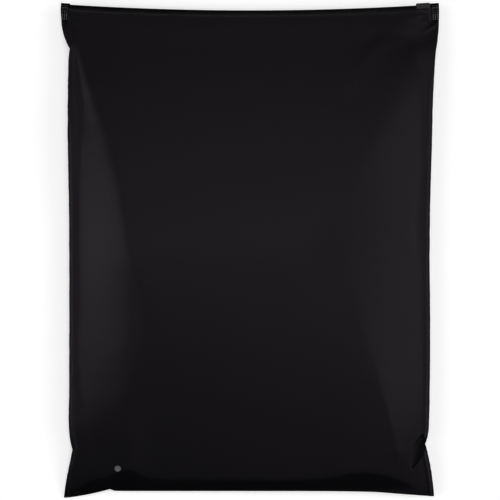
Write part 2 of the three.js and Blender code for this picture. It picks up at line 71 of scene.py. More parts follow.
def newPiece(name, bm, materials, body, nodes=()):
    piece = newObject(name, bm, materials)
    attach(piece, body)
    if nodes:
        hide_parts(*nodes)
    print("made", name, len(piece.data.polygons), "faces")
    return piece


# Materials
filmFinish = {
    "colour": (0.0031, 0.0029, 0.0038),
    # painted shade: near-black base colour along the steep turn at the foot
    "paintedFootShadeColour": (0.0001, 0.0001, 0.0004),
    # painted highlight and painted light: paler base colour along the film's edge by the zip and in the
    # sharp fold
    "paintedLightColour": (0.0146, 0.013, 0.0146),
    "tint": (0.99, 0.86, 0.97),
    "roughness": 0.465,
    "specular": 0.118,
    "waveSize": 45.0,
    "grainSize": 2600.0,
}
zipFinish = {
    "colour": (0.0006, 0.0006, 0.0007),
    # painted highlight: a paler base colour on the zip strip's lower lip
    "paintedLitLipColour": (0.0085, 0.0083, 0.0085),
    "lip": {"top": 0.0024, "foot": 0.0004, "waver": 0.0022, "waverSize": 60.0},
    "roughness": 0.3,
    "specular": 0.02,
    "grainSize": 900.0,
}
sliderFinish = {"colour": (0.0112, 0.0112, 0.0115), "roughness": 0.34, "specular": 0.2, "grainSize": 1800.0}
# painted highlight: the pips' pale grey base colour stands in for glints on black film
pipGlintFinish = {"colour": (0.36, 0.357, 0.362), "roughness": 0.28, "specular": 0.75, "grainSize": 1500.0}
crimpFinish = {"colour": (0.0011, 0.001, 0.0012), "roughness": 0.35, "specular": 0.03, "grainSize": 1500.0}
# painted shade: the vent's grey stands for the pale filling seen in shade through the hole
ventShadeFinish = {"colour": (0.13, 0.13, 0.132), "roughness": 0.7, "specular": 0.2, "grainSize": 2400.0}
surface = {  # the same on every plastic; a bump is its strength and height
    "tones": (0.82, 1.18),
    "sheen": 0.04,
    "grainDetail": 2,
    "grainBump": (0.08, 0.0002),
    "waveDetail": 3,
    "waveBump": (0.06, 0.002),
}


def bumpNode(nodes, links, height, strength, distance):
    bump = nodes.new("ShaderNodeBump")
    bump.inputs["Strength"].default_value = strength
    bump.inputs["Distance"].default_value = distance
    links.new(height, bump.inputs["Height"])
    return bump


def noiseNode(nodes, links, where, size, detail):
    texture = nodes.new("ShaderNodeTexNoise")
    texture.inputs["Scale"].default_value = size
    texture.inputs["Detail"].default_value = detail
    links.new(where.outputs["Object"], texture.inputs["Vector"])
    return texture


def mixColour(nodes, links, share, first, second):
    mix = nodes.new("ShaderNodeMix")
    mix.data_type = "RGBA"
    links.new(share, mix.inputs["Factor"])
    links.new(first, mix.inputs["A"])
    mix.inputs["B"].default_value = (*second, 1)
    return mix.outputs["Result"]


def paintedLitLipShare(nodes, links, where):  # painted highlight: 1 on the strip's lower lip, which is painted paler, and 0 on its head, with a wavering border
    lip = zipFinish["lip"]
    radius = zipRadius * mm
    fromCentre = nodes.new("ShaderNodeVectorMath")
    fromCentre.operation = "DISTANCE"
    flat = nodes.new("ShaderNodeVectorMath")
    flat.operation = "MULTIPLY"
    flat.inputs[1].default_value = (1, 1, 0)
    links.new(where.outputs["Object"], flat.inputs[0])
    links.new(flat.outputs["Vector"], fromCentre.inputs[0])
    fromCentre.inputs[1].default_value = (0, zipCentre * mm, 0)
    waver = noiseNode(nodes, links, where, lip["waverSize"], surface["waveDetail"])
    spread = nodes.new("ShaderNodeMath")
    spread.operation = "MULTIPLY_ADD"
    links.new(waver.outputs["Fac"], spread.inputs[0])
    spread.inputs[1].default_value = lip["waver"]
    links.new(fromCentre.outputs["Value"], spread.inputs[2])
    share = nodes.new("ShaderNodeMapRange")
    share.inputs["From Min"].default_value = radius - lip["top"] + lip["waver"] / 2
    share.inputs["From Max"].default_value = radius - lip["foot"] + lip["waver"] / 2
    links.new(spread.outputs["Value"], share.inputs["Value"])
    return share.outputs["Result"]


def plasticMaterial(name, finish):
    material = bpy.data.materials.new(name)
    material.use_nodes = True
    nodes, links = material.node_tree.nodes, material.node_tree.links
    shader = nodes["Principled BSDF"]
    shader.inputs["Specular IOR Level"].default_value = finish["specular"]
    where = nodes.new("ShaderNodeTexCoord")
    grain = noiseNode(nodes, links, where, finish["grainSize"], surface["grainDetail"])
    tone = nodes.new("ShaderNodeMix")
    tone.data_type = "RGBA"
    for socket, times in zip("AB", surface["tones"]):
        tone.inputs[socket].default_value = (*[c * times for c in finish["colour"]], 1)
    links.new(grain.outputs["Fac"], tone.inputs["Factor"])
    colour = tone.outputs["Result"]
    # painted shade along the foot, and painted light by the zip and in the sharp fold, mixed into the base
    # colour
    for share in ("paintedFootShade", "paintedLight"):
        if share + "Colour" in finish:
            painted = nodes.new("ShaderNodeAttribute")
            painted.attribute_name = share
            colour = mixColour(nodes, links, painted.outputs["Fac"], colour, finish[share + "Colour"])
    if "paintedLitLipColour" in finish:
        colour = mixColour(nodes, links, paintedLitLipShare(nodes, links, where), colour, finish["paintedLitLipColour"])
    links.new(colour, shader.inputs["Base Color"])
    sheen = nodes.new("ShaderNodeMapRange")
    sheen.inputs["To Min"].default_value = finish["roughness"] - surface["sheen"]
    sheen.inputs["To Max"].default_value = finish["roughness"] + surface["sheen"]
    links.new(grain.outputs["Fac"], sheen.inputs["Value"])
    links.new(sheen.outputs["Result"], shader.inputs["Roughness"])
    bump = bumpNode(nodes, links, grain.outputs["Fac"], *surface["grainBump"])
    if "tint" in finish:
        shader.inputs["Specular Tint"].default_value = (*finish["tint"], 1)
    if "waveSize" in finish:
        wave = noiseNode(nodes, links, where, finish["waveSize"], surface["waveDetail"])
        broad = bumpNode(nodes, links, wave.outputs["Fac"], *surface["waveBump"])
        links.new(broad.outputs["Normal"], bump.inputs["Normal"])
    links.new(bump.outputs["Normal"], shader.inputs["Normal"])
    return material


# Film bag, in millimetres: x across, y towards the zip, z up
bag = {
    "halfWidth": 150.0,
    "halfHeight": 196.0,
    "sideRise": 17.0,
    "zipRise": 11.0,
    "footRise": (2.0, 9.5),
    "levelGap": 1.7,
    "zipLeveling": 62.0,
    "footLeveling": 92.0,
    "footCurl": 2.5,
    "restSag": 0.3,
    "seamHalf": 0.4,
    "seamMargin": 3.0,
    "leftPull": 6.9,
    "rightPull": 7.5,
    "footPull": 5.2,
    "backGap": 0.45,
    "backSoftness": 0.16,
    "footSpread": 0.00095,
    "footSpreadAt": (60.0, 150.0),
    "slopeToe": 3.0,
}
weldBead = {
    "half": 0.78,
    "inset": 3.1,
    "width": 1.05,
    "waver": 0.5,
    "waverSize": 14.0,
    "uneven": 0.6,
    "unevenSize": 17.0,
    "earShare": 0.3,
    "earEnd": (45.0, 105.0),
}
ears = {  # flat film outside the filling: length to the pucker, and how far the pucker is drawn in
    "topLeft": {"length": 37.5, "depth": 8.1, "power": 2.6, "relax": 5.0, "tip": 0.0, "reach": 26.0},
    "topRight": {"length": 37.0, "depth": 3.0, "power": 2.6, "relax": 60.0, "tip": 0.0, "reach": 30.0},
    "lowLeft": {"length": 38.5, "depth": 9.7, "power": 1.3, "relax": 8.0, "tip": 2.6},
    "lowRight": {"length": 43.0, "depth": 11.2, "power": 1.5, "relax": 6.0, "tip": 4.0},
    "footLeft": {"length": 37.0, "depth": 6.9, "power": 1.5, "relax": 1.5, "tip": 0.0},
    "footRight": {"length": 43.0, "depth": 4.2, "power": 1.1, "relax": 20.0, "tip": 1.0},
}
frontForm = {  # plan run from the edge to the shoulder, and how sharply the shoulder turns
    "left": {"run": 42.4, "bend": 1.18, "lowRun": 99.7, "lowBend": 1.37},
    "right": {"run": 174.0, "bend": 3.0, "lowRun": 66.7, "lowBend": 1.2},
    "lowAt": (-10.0, 110.0),
    "leftMargins": (  # distance from the top, flat margin, share of the run
        (12, -5.0, 0.16), (19, -3.5, 0.16), (28, -1.0, 0.18), (50, 4.0, 0.3),
        (78, 9.6, 0.4), (95, 10.0, 0.58), (115, 8.6, 0.8), (150, 7.0, 1.0),
        (235, 7.0, 1.0), (275, 4.2, 1.0), (315, 3.8, 1.0),
    ),
    "rightMargins": (
        (10, -2.0, 0.3), (16, 0.0, 0.8), (26, 3.0, 1.3), (44, 3.5, 1.0),
        (240, 3.5, 1.0), (300, 1.5, 1.25), (362, 0.0, 2.5), (390, 0.0, 3.0),
    ),
    "zip": {"lead": 5.0, "endLead": 3.0, "endAt": (90.0, 138.0), "run": 240.0, "bend": 1.8},
    "foot": {
        "angle": 14.5, "width": 8.5, "leastWidth": 0.4, "soft": 0.7, "run": 261.0, "bend": 2.07,
        "ragged": 0.7, "raggedSize": 13.0, "fineShare": 0.6, "fineSize": 5.0,
        "shade": 0.35, "shadeReach": 5.0,
    },
    "footBulges": (  # x, spread, extra width of the turn-under
        (-98, 13, 8.5), (90, 26, 6.8), (-140, 9, -8.0), (140, 16, -8.0),
    ),
    "aim": 42.24,
    "dome": 0.03,
    "domeAcross": 0.084,
    "sharpness": {
        "topLeft": 4.23, "topRight": 8.0, "foot": 16.0, "footLeft": 5.0, "footTurn": (-90.0, 60.0),
        "crest": 2.2, "crestEnd": (0.15, 0.6), "dome": 2.21,
    },
    "toe": 0.03,
    "zipToe": 0.006,
    "zipToeEnd": (4.0, 30.0),
    "detailOnset": 3.0,
    "foldOnset": 8.0,
}
backForm = {
    "left": (24.0, 1.6),
    "right": (24.0, 1.6),
    "zip": (46.0, 1.5),
    "foot": (22.0, 1.8),
    "corner": (22.0, 1.5),
}
zipTrack = {
    "bow": 5.0,
    "flangeDepth": 8.0,
    "flangeGap": 0.75,
    "mouthHalf": 1.3,
    "mouthFade": 50.0,
    "mouthEnd": (95.0, 140.0),
    "crimpLength": 6.6,
    "crimpRise": 5.0,
    "crimpHalf": 0.75,
    "crimpDrop": 9.4,
    "crimpFade": 1.5,
    "setback": 2.4,
}
folds = [  # points from the left and top edges, width, first and last depth (minus for a ridge), roundness
    ([(288, 122), (282, 168), (283, 206)], 3.6, 0.8, 0.8, 2),
    ([(279, 17), (267, 24), (253, 32.5), (243, 43), (236, 56), (230, 70)], 6.0, -0.9, -0.6, 2),
    ([(249, 296), (257.3, 319.6), (261.7, 337), (265.7, 355.3), (267.4, 364.5)], 8.0, -1.3, -1.3, 1.2),
]
seamFolds = [
    ([(283, 13), (270, 22), (258, 29)], 6.0, -0.6, -0.4, 2),
    ([(292, 26), (274, 35), (263, 47)], 6.0, 1.0, 0.8, 2),
    ([(10, 44), (13, 75), (14, 100), (11, 130)], 5.0, 0.9, 0.9, 2),
    ([(298, 16.5), (288.5, 22.8)], 1.1, -1.0, -1.0, 2),
    ([(8, 10.5), (13, 14)], 0.7, -0.45, -0.45, 2),
]
foldFade = {"reach": 3, "start": 0.1, "span": 0.8, "power": 0.6}
dimple = {  # sharp fold by the low right notch, with a wide wall on its left and a narrow one on its right
    "path": ((287.4, 346), (284.6, 356.5), (278.6, 368)),
    "walls": (7.6, 2.6),
    "depth": 6.2,
    "wallPower": 0.8,
    "start": 0.2,
    "span": 0.76,
    "endPower": 0.7,
    # painted light: the deep fold is given a paler base colour
    "paler": 0.42,
    "palerFrom": (0.8, 3.0),
    "cuts": 2,
    "cutMargin": 1.0,
}
seamLift = {  # how far the full film draws the upper side seams up, by distance from the top
    "left": (
        (9.5, 0.0), (16, 2.3), (25, 3.2), (35, 3.6), (45, 3.0),
        (56, 2.8), (96, 4.9), (120, 5.0), (190, 0.0),
    ),
    "right": ((8.6, 0.0), (16, 0.9), (28, 1.9), (40, 2.5), (68, 1.9), (105, 0.8), (140, 0.0)),
    "reach": (12, 48),
    "crimpStep": (4.0, 1.2),
}
edgeTrim = {  # extra draw of the side seams, by distance from the top
    "left": ((100, 0.0), (125, 0.3), (160, 0.6), (305, 0.6), (330, 0.0)),
    "right": (
        (30, 0.0), (50, 0.5), (80, 0.6), (115, 0.3), (158, 0.9), (200, 1.1),
        (240, 0.6), (285, 0.5), (318, 0.9), (345, 0.9), (353, 0.0),
    ),
}
slackFilm = {
    "seamWave": {"height": 0.8, "size": 31.0, "across": (60.0, 125.0), "down": (20.0, 120.0)},
    "pucker": {"height": 0.3, "size": 4.6, "length": 30.0, "reach": 12.0},
    "ragged": {"height": 0.16, "size": 3.1, "broadSize": 9.7, "endFade": 20.0},
    "broad": {"height": 0.12, "size": 27.0},
}
zipEdgeHighlight = {  # painted highlight: paler film by the zip along a patchy line at the film's edge, and over the flange behind the film
    "below": 0.4,
    "width": 0.7,
    "waver": 0.5,
    "waverSize": 21.0,
    "endFade": 6.0,
    "rightLoss": 0.7,
    "rightAt": (60.0, 125.0),
    "patch": 0.7,
    "patchSpread": 0.7,
    "patchSize": 11.0,
    "flange": (1.4, 3.2),
    "flangeShares": (0.1, 0.3),
    "flangeAt": (40.0, 120.0),
    "flangePatch": 0.8,
    "flangeSpread": 0.5,
    "flangeSize": 17.0,
}
filmGrid = {
    "edge": 0.5,
    "edgeStops": 7,
    "growth": 1.025,
    "widest": 2.6,
    "top": (0, 0.4, 0.9, 1.5, 2.2),
    "topGrowth": 1.05,
    "foot": (0, 0.6, 1.3),
    "crimpInset": 0.6,
    "sharpAngle": 36.0,
}

halfWidth, halfHeight = bag["halfWidth"], bag["halfHeight"]
filmEnd = halfHeight - zipTrack["crimpRise"]
zipRadius = (halfWidth ** 2 + zipTrack["bow"] ** 2) / (2 * zipTrack["bow"])
zipCentre = filmEnd - zipTrack["bow"] + zipRadius
crimpStart = halfWidth - zipTrack["crimpLength"]

film = plasticMaterial("matteFilm", filmFinish)
zipPlastic = plasticMaterial("zipPlastic", zipFinish)
sliderPlastic = plasticMaterial("sliderPlastic", sliderFinish)
pipGlintFilm = plasticMaterial("pipGlintFilm", pipGlintFinish)
crimpBlack = plasticMaterial("crimpBlack", crimpFinish)
ventShadeGrey = plasticMaterial("ventShadeGrey", ventShadeFinish)
print("materials made")


def zipLine(x):
    return zipCentre - math.sqrt(zipRadius ** 2 - x * x)


def earDraw(ear, distance):
    share = max(0.0, distance) / ear["length"]
    return ear["tip"] + (ear["depth"] - ear["tip"]) * share ** ear["power"]


def tableAt(value, stops):  # smooth curve through the stops, level at both ends
    last = len(stops) - 1
    for i, ((a, low), (b, high)) in enumerate(zip(stops, stops[1:])):
        if value < b:
            t, span = clamp((value - a) / (b - a)), b - a
            before = (high - stops[i - 1][1]) / (b - stops[i - 1][0]) * span if i else 0.0
            after = (stops[i + 2][1] - low) / (stops[i + 2][0] - a) * span if i + 2 <= last else 0.0
            return lerp(low, high, t * t * (3 - 2 * t)) + t * (1 - t) * (before * (1 - t) - after * t)
    return stops[-1][1]


def edgeDraw(fromStart, fromEnd, start, end, pull):
    if fromStart <= start["length"]:
        return earDraw(start, fromStart)
    if fromEnd <= end["length"]:
        return earDraw(end, fromEnd)
    fadeStart = math.exp((start["length"] - fromStart) / start["relax"])
    fadeEnd = math.exp((end["length"] - fromEnd) / end["relax"])
    return pull + (start["depth"] - pull) * fadeStart + (end["depth"] - pull) * fadeEnd


def ragged(y, side):
    rag = slackFilm["ragged"]
    nearEnd = min(1.0, (halfHeight - abs(y)) / rag["endFade"])
    return rag["height"] * nearEnd * (ripple(y / rag["size"], side) + ripple(y / rag["broadSize"], side, 4))


def leftEdge(y):
    draw = edgeDraw(halfHeight - y, halfHeight + y, ears["topLeft"], ears["lowLeft"], bag["leftPull"])
    return -halfWidth + draw + tableAt(halfHeight - y, edgeTrim["left"]) + ragged(y, -1)


def rightEdge(y):
    draw = edgeDraw(halfHeight - y, halfHeight + y, ears["topRight"], ears["lowRight"], bag["rightPull"])
    return halfWidth - draw - tableAt(halfHeight - y, edgeTrim["right"]) + ragged(y, 1)


def footEdge(x):
    fromLeft = x + halfWidth - ears["lowLeft"]["tip"]
    fromRight = halfWidth - ears["lowRight"]["tip"] - x
    return -halfHeight + edgeDraw(fromLeft, fromRight, ears["footLeft"], ears["footRight"], bag["footPull"])


def footRise(x):
    return lerp(*bag["footRise"], (x + halfWidth) / (2 * halfWidth))


def seamLevel(x, y):
    belowZip = zipLine(x) - y - zipTrack["crimpDrop"] - bag["levelGap"]
    nearZip = (1 - clamp(belowZip / bag["zipLeveling"])) ** 2
    nearFoot = (1 - clamp((halfHeight + y) / bag["footLeveling"])) ** bag["footCurl"]
    side = bag["sideRise"]
    return side + (bag["zipRise"] - side) * nearZip + (footRise(x) - side) * nearFoot


def seamPlane(x, y):
    wave = slackFilm["seamWave"]
    atSide = smooth(abs(x), *wave["across"]) * smooth(halfHeight - y, *wave["down"])
    waver = wave["height"] * atSide * ripple(y / wave["size"], math.copysign(5, x))
    lift = tableAt(halfHeight - y, seamLift["left" if x < 0 else "right"])
    lift *= 1 - smooth(halfWidth - abs(x), *seamLift["reach"])
    inward, below = seamLift["crimpStep"]
    drop = zipTrack["crimpDrop"]
    inCrimp = smooth(abs(x), crimpStart - inward, crimpStart)
    lift *= 1 - inCrimp * (1 - smooth(zipLine(x) - y, drop, drop + below))
    return seamLevel(x, y) + lift + waver - foldDepth(x, y, seamFolds) - dimpleDepth(x, y)


def edgeHalf(x, y):
    belowTop = zipLine(x) - y
    fromSide = min(x - leftEdge(y), rightEdge(y) - x)
    flange = zipTrack["flangeDepth"]
    mouthFade = lerp(zipTrack["mouthFade"], 2 * flange, smooth(abs(x), *zipTrack["mouthEnd"]))
    nearMouth = 1 - smooth(belowTop, flange + zipTrack["flangeGap"], mouthFade)
    inCrimp = smooth(abs(x), crimpStart - zipTrack["setback"] / 2, crimpStart)
    drop = zipTrack["crimpDrop"]
    crimped = (1 - smooth(belowTop, drop, drop + zipTrack["crimpFade"])) * inCrimp
    waver = weldBead["waver"] * ripple(y / weldBead["waverSize"], math.copysign(9, x))
    uneven = weldBead["uneven"] * ripple(y / weldBead["unevenSize"], math.copysign(2, x))
    inset = weldBead["inset"] + waver
    swell = weldBead["half"] * (1 + uneven)
    swell *= lerp(weldBead["earShare"], 1, smooth(halfHeight - y, *weldBead["earEnd"]))
    bead = swell * math.exp(-((fromSide - inset) / weldBead["width"]) ** 2)
    seam = bag["seamHalf"] + bead * (1 - nearMouth)
    mouth = lerp(seam, zipTrack["mouthHalf"], nearMouth * (1 - inCrimp))
    return lerp(mouth, zipTrack["crimpHalf"], crimped)


def slack(distance, run, bend):  # 1 at the edge, 0 where the film is full
    inside = max(0.0, distance)
    share = min(1.0, inside * inside / (inside + bag["slopeToe"]) / run)
    return (1 - share) ** bend


def sideSlack(distance, y, side, stops):
    margin, stretch = marginAt(halfHeight - y, stops)
    low = smooth(-y, *frontForm["lowAt"])
    run = lerp(side["run"], side["lowRun"], low) * stretch
    return slack(distance - margin, run, lerp(side["bend"], side["lowBend"], low))


def joined(slacks, sharpness):
    return sum(s ** sharpness for s in slacks) ** (1 / sharpness)


def insideLine(x, y, line):
    (px, py), (qx, qy) = line
    return ((qx - px) * (y - py) - (qy - py) * (x - px)) / math.hypot(qx - px, qy - py)


def makeEarLines():
    flange = zipTrack["flangeDepth"]
    topLeft, topRight = ears["topLeft"], ears["topRight"]
    lowLeft, lowRight = ears["lowLeft"], ears["lowRight"]
    leftX = -halfWidth + topLeft["depth"] + topLeft["reach"]
    rightX = halfWidth - topRight["depth"] - topRight["reach"]
    footLeftX = -halfWidth + lowLeft["tip"] + ears["footLeft"]["length"]
    footRightX = halfWidth - lowRight["tip"] - ears["footRight"]["length"]
    footLeftY, footRightY = (ears[name]["depth"] - halfHeight for name in ("footLeft", "footRight"))
    return [
        ((leftX, zipLine(leftX) - flange), (topLeft["depth"] - halfWidth, halfHeight - topLeft["length"])),
        (
            (halfWidth - topRight["depth"], halfHeight - topRight["length"]),
            (rightX, zipLine(rightX) - flange),
        ),
        ((lowLeft["depth"] - halfWidth, lowLeft["length"] - halfHeight), (footLeftX, footLeftY)),
        ((footRightX, footRightY), (halfWidth - lowRight["depth"], lowRight["length"] - halfHeight)),
    ]


earLines = makeEarLines()


def footWidths(x):
    foot = frontForm["foot"]
    bulges = frontForm["footBulges"]
    plain = foot["width"] + sum(more * math.exp(-((x - at) / spread) ** 2) for at, spread, more in bulges)
    rag = ripple(x / foot["raggedSize"], 3) + foot["fineShare"] * ripple(x / foot["fineSize"], 8)
    return plain, max(foot["leastWidth"], plain + foot["ragged"] * rag)


# painted shade: 1 on the steep turn along the foot and fading past it; it darkens the base colour there
def paintedFootShadeShare(x, y):
    foot = frontForm["foot"]
    above = y + halfHeight - bag["footPull"]
    past = above - footWidths(x)[1]
    shade = foot["shade"] * math.exp(-max(0.0, past) / foot["shadeReach"])
    return max(1 - smooth(past, -foot["soft"], foot["soft"]), shade)


def paintedLightShare(x, y):  # painted highlight by the zip and painted light in the sharp fold: a paler base colour
    edgeHighlight = zipEdgeHighlight
    below = zipLine(x) - y - edgeHighlight["below"] - edgeHighlight["waver"] * ripple(x / edgeHighlight["waverSize"], 6)
    inside = 1 - smooth(abs(x), crimpStart - edgeHighlight["endFade"], crimpStart)
    fade = 1 - edgeHighlight["rightLoss"] * smooth(x, *edgeHighlight["rightAt"])
    patch = clamp(edgeHighlight["patch"] + edgeHighlight["patchSpread"] * ripple(x / edgeHighlight["patchSize"], 2))
    along = inside * fade * patch * math.exp(-(below / edgeHighlight["width"]) ** 2)
    flangePatch = edgeHighlight["flangePatch"] + edgeHighlight["flangeSpread"] * ripple(x / edgeHighlight["flangeSize"], 12)
    flange = lerp(*edgeHighlight["flangeShares"], smooth(x, *edgeHighlight["flangeAt"])) * flangePatch
    along += inside * flange * (1 - smooth(zipLine(x) - y, *edgeHighlight["flange"]))
    return along + dimple["paler"] * smooth(dimpleDepth(x, y), *dimple["palerFrom"])


def footSlack(x, above, base):
    foot = frontForm["foot"]
    rise = frontForm["aim"] - seamLevel(x, bag["footPull"] - halfHeight) - bag["seamHalf"]
    plain, width = footWidths(x)
    climbed = math.tan(math.radians(foot["angle"])) * plain
    climb = climbed / width * foot["soft"] * math.log1p(math.exp((width - above) / foot["soft"]))
    far = clamp(1 - above / foot["run"]) ** foot["bend"]
    return clamp((climb + (rise - climbed) * far) / (frontForm["aim"] - base))


def marginAt(down, stops):
    for (d0, m0, r0), (d1, m1, r1) in zip(stops, stops[1:]):
        if down < d1:
            t = clamp((down - d0) / (d1 - d0))
            return lerp(m0, m1, t), lerp(r0, r1, t)
    return stops[-1][1:]


def frontFullness(x, y, base):
    form, sharp = frontForm, frontForm["sharpness"]
    top = form["zip"]
    lead = lerp(top["lead"], top["endLead"], smooth(abs(x), *top["endAt"]))
    zipSlack = slack(zipLine(x) + lead - y, top["run"], top["bend"])
    zipClimb = (form["aim"] - bag["zipRise"] - zipTrack["mouthHalf"]) * zipSlack
    fromZip = clamp(zipClimb / (form["aim"] - base))
    fromLeft = sideSlack(x + halfWidth - bag["leftPull"], y, form["left"], form["leftMargins"])
    fromRight = sideSlack(halfWidth - bag["rightPull"] - x, y, form["right"], form["rightMargins"])
    fromFoot = footSlack(x, y + halfHeight - bag["footPull"], base)
    sides = joined((joined((fromLeft, fromZip), sharp["topLeft"]), fromRight), sharp["topRight"])
    near = smooth(max(sides, fromFoot), *sharp["crestEnd"])
    footSharp = lerp(sharp["footLeft"], sharp["foot"], smooth(x, *sharp["footTurn"]))
    sides = joined((sides, fromFoot), lerp(sharp["crest"], footSharp, near))
    dome = form["dome"] + form["domeAcross"] * (x / halfWidth) ** 2
    full = max(0.0, 1 - joined((sides, dome), sharp["dome"]))
    toe = lerp(form["zipToe"], form["toe"], smooth(zipLine(x) - y, *form["zipToeEnd"]))
    return (math.hypot(full, toe) - toe) / (math.hypot(1 - form["dome"], toe) - toe)


def alongPath(x, y, path):
    best = (1e9, 0.0)
    for i, ((px, py), (qx, qy)) in enumerate(zip(path, path[1:])):
        dx, dy = qx - px, qy - py
        t = clamp(((x - px) * dx + (y - py) * dy) / (dx * dx + dy * dy))
        best = min(best, (math.hypot(x - px - t * dx, y - py - t * dy), (i + t) / (len(path) - 1)))
    return best


def foldDepth(x, y, creases):
    depth = 0.0
    for path, width, first, last, roundness in creases:
        across, along = alongPath(x + halfWidth, halfHeight - y, path)
        if across < foldFade["reach"] * width:
            fade = math.sin(math.pi * (foldFade["start"] + foldFade["span"] * along)) ** foldFade["power"]
            depth += lerp(first, last, along) * fade * math.exp(-(across / width) ** roundness)
    return depth


def dimpleReach(x, y):
    return alongPath(x + halfWidth, halfHeight - y, dimple["path"])[0]


def dimpleDepth(x, y):
    path = dimple["path"]
    across, along = alongPath(x + halfWidth, halfHeight - y, path)
    middle = lerp(lerp(path[0][0], path[1][0], along), lerp(path[1][0], path[2][0], along), along)
    leaf = math.sin(math.pi * (dimple["start"] + dimple["span"] * along)) ** dimple["endPower"]
    wall = dimple["walls"][0 if x + halfWidth < middle else 1]
    return dimple["depth"] * max(0.0, leaf - across / wall) ** dimple["wallPower"]


def puckers(x, y):
    fromSide = min(x - leftEdge(y), rightEdge(y) - x)
    inside = max(0.0, fromSide - bag["seamMargin"])
    pucker = slackFilm["pucker"]
    near = inside / pucker["reach"] * math.exp(1 - inside / pucker["reach"])
    wrinkle = ripple(y / pucker["size"], fromSide / pucker["length"], math.copysign(11, x))
    return pucker["height"] * near * wrinkle


def frontHeight(x, y):
    base = seamPlane(x, y) + edgeHalf(x, y)
    full = frontFullness(x, y, base)
    broad = slackFilm["broad"]
    detail = puckers(x, y) + broad["height"] * ripple(x / broad["size"], y / broad["size"])
    detail *= min(1.0, frontForm["detailOnset"] * full)
    creases = foldDepth(x, y, folds) * min(1.0, frontForm["foldOnset"] * full)
    return base + (frontForm["aim"] - base) * full + detail - creases


def softMin(a, b, softness):
    low = min(a, b)
    near = max(0.0, 1 - abs(a - b) / softness)
    return low - softness * near * near * low * (1 - low)


def backHeight(x, y):
    margin = bag["seamMargin"]
    full = 1 - slack(x + halfWidth - bag["leftPull"] - margin, *backForm["left"])
    slacks = [
        slack(halfWidth - bag["rightPull"] - margin - x, *backForm["right"]),
        slack(zipLine(x) - zipTrack["flangeDepth"] - bag["backGap"] - y, *backForm["zip"]),
        slack(y + halfHeight - bag["footPull"], *backForm["foot"]),
    ]
    for empty in slacks + [slack(insideLine(x, y, line), *backForm["corner"]) for line in earLines]:
        full = softMin(full, 1 - empty, bag["backSoftness"])
    lift = seamPlane(x, y) - edgeHalf(x, y) + bag["restSag"]
    return max(0.0, lift * (1 - full) - bag["restSag"])


def halfStops(half, first, growth, widest):
    stops = list(first)
    step = first[-1] - first[-2]
    while stops[-1] < half:
        step = min(step * growth, widest)
        stops.append(stops[-1] + step)
    fixed = first[-1]
    stretch = (half - fixed) / (stops[-1] - fixed)
    return [fixed + (d - fixed) * stretch if d > fixed else d for d in stops]


def shares(length, near, far):
    return [d / length for d in near + [length - d for d in reversed(far)][1:]]


def planPoint(u, v):
    footY = (-halfHeight + ears["footLeft"]["tip"], -halfHeight + ears["footRight"]["tip"])
    leftY, rightY = lerp(filmEnd, footY[0], v), lerp(filmEnd, footY[1], v)
    topX = lerp(leftEdge(filmEnd), rightEdge(filmEnd), u)
    footX = lerp(leftEdge(footY[0]), rightEdge(footY[1]), u)
    topBow = zipLine(topX) - filmEnd
    footBow = footEdge(footX) - lerp(footY[0], footY[1], u)
    x = lerp(leftEdge(leftY), rightEdge(rightY), u)
    y = lerp(leftY, rightY, u) + lerp(topBow, footBow, v)
    sunk = max(0.0, bag["zipRise"] - seamLevel(x, y))
    spread = 1 + bag["footSpread"] * sunk * smooth(-y, *bag["footSpreadAt"])
    return x * spread, y * spread


def buildPouch():
    growth, widest = filmGrid["growth"], filmGrid["widest"]
    side = [filmGrid["edge"] * i for i in range(filmGrid["edgeStops"])]
    across = halfStops(halfWidth, side, growth, widest)
    length = filmEnd + halfHeight
    top = halfStops(length / 2, filmGrid["top"], filmGrid["topGrowth"], widest)
    foot = halfStops(length / 2, filmGrid["foot"], growth, widest)
    us, vs = shares(2 * halfWidth, across, across), shares(length, top, foot)
    bm = bmesh.new()
    # vertex shares of the painted shade at the foot and of the painted light by the zip and in the fold
    paintedFootShade, paintedLight = (bm.verts.layers.float.new(name) for name in ("paintedFootShade", "paintedLight"))
    bmesh.ops.create_grid(bm, x_segments=len(us) - 1, y_segments=len(vs) - 1, size=1)
    bm.verts.ensure_lookup_table()
    for row, v in enumerate(reversed(vs)):
        for column, u in enumerate(us):
            bm.verts[row * len(us) + column].co.xy = planPoint(u, v)
    near = dimple["walls"][0] + dimple["cutMargin"]
    fine = [e for e in bm.edges if all(dimpleReach(*v.co.xy) < near for v in e.verts)]
    bmesh.ops.subdivide_edges(bm, edges=fine, cuts=dimple["cuts"], use_grid_fill=True)
    back = bmesh.ops.duplicate(bm, geom=bm.verts[:] + bm.edges[:] + bm.faces[:])["geom"]
    backVerts = {g for g in back if isinstance(g, bmesh.types.BMVert)}
    for vert in bm.verts:
        x, y = vert.co.x, vert.co.y
        vert.co.z = backHeight(x, y) if vert in backVerts else frontHeight(x, y)
        vert[paintedFootShade] = 0.0 if vert in backVerts else paintedFootShadeShare(x, y)
        vert[paintedLight] = paintedLightShare(x, y)
    bmesh.ops.reverse_faces(bm, faces=[g for g in back if isinstance(g, bmesh.types.BMFace)])
    bmesh.ops.bridge_loops(bm, edges=[e for e in bm.edges if e.is_boundary])
    bmesh.ops.recalc_face_normals(bm, faces=bm.faces[:])
    materials = [film, ventShadeGrey, crimpBlack]
    crimpFrom = crimpStart + filmGrid["crimpInset"]
    for face in bm.faces:
        face.smooth = True
        middle = face.calc_center_median()
        if abs(middle.x) > crimpFrom and zipLine(middle.x) - middle.y < zipTrack["crimpDrop"]:
            face.material_index = materials.index(crimpBlack)
    bmesh.ops.scale(bm, vec=(mm, mm, mm), verts=bm.verts[:])
    pouch = newPiece("film_pouch", bm, materials, "bag", ["pouch"])
    pouch.data.set_sharp_from_angle(angle=math.radians(filmGrid["sharpAngle"]))
    return pouch


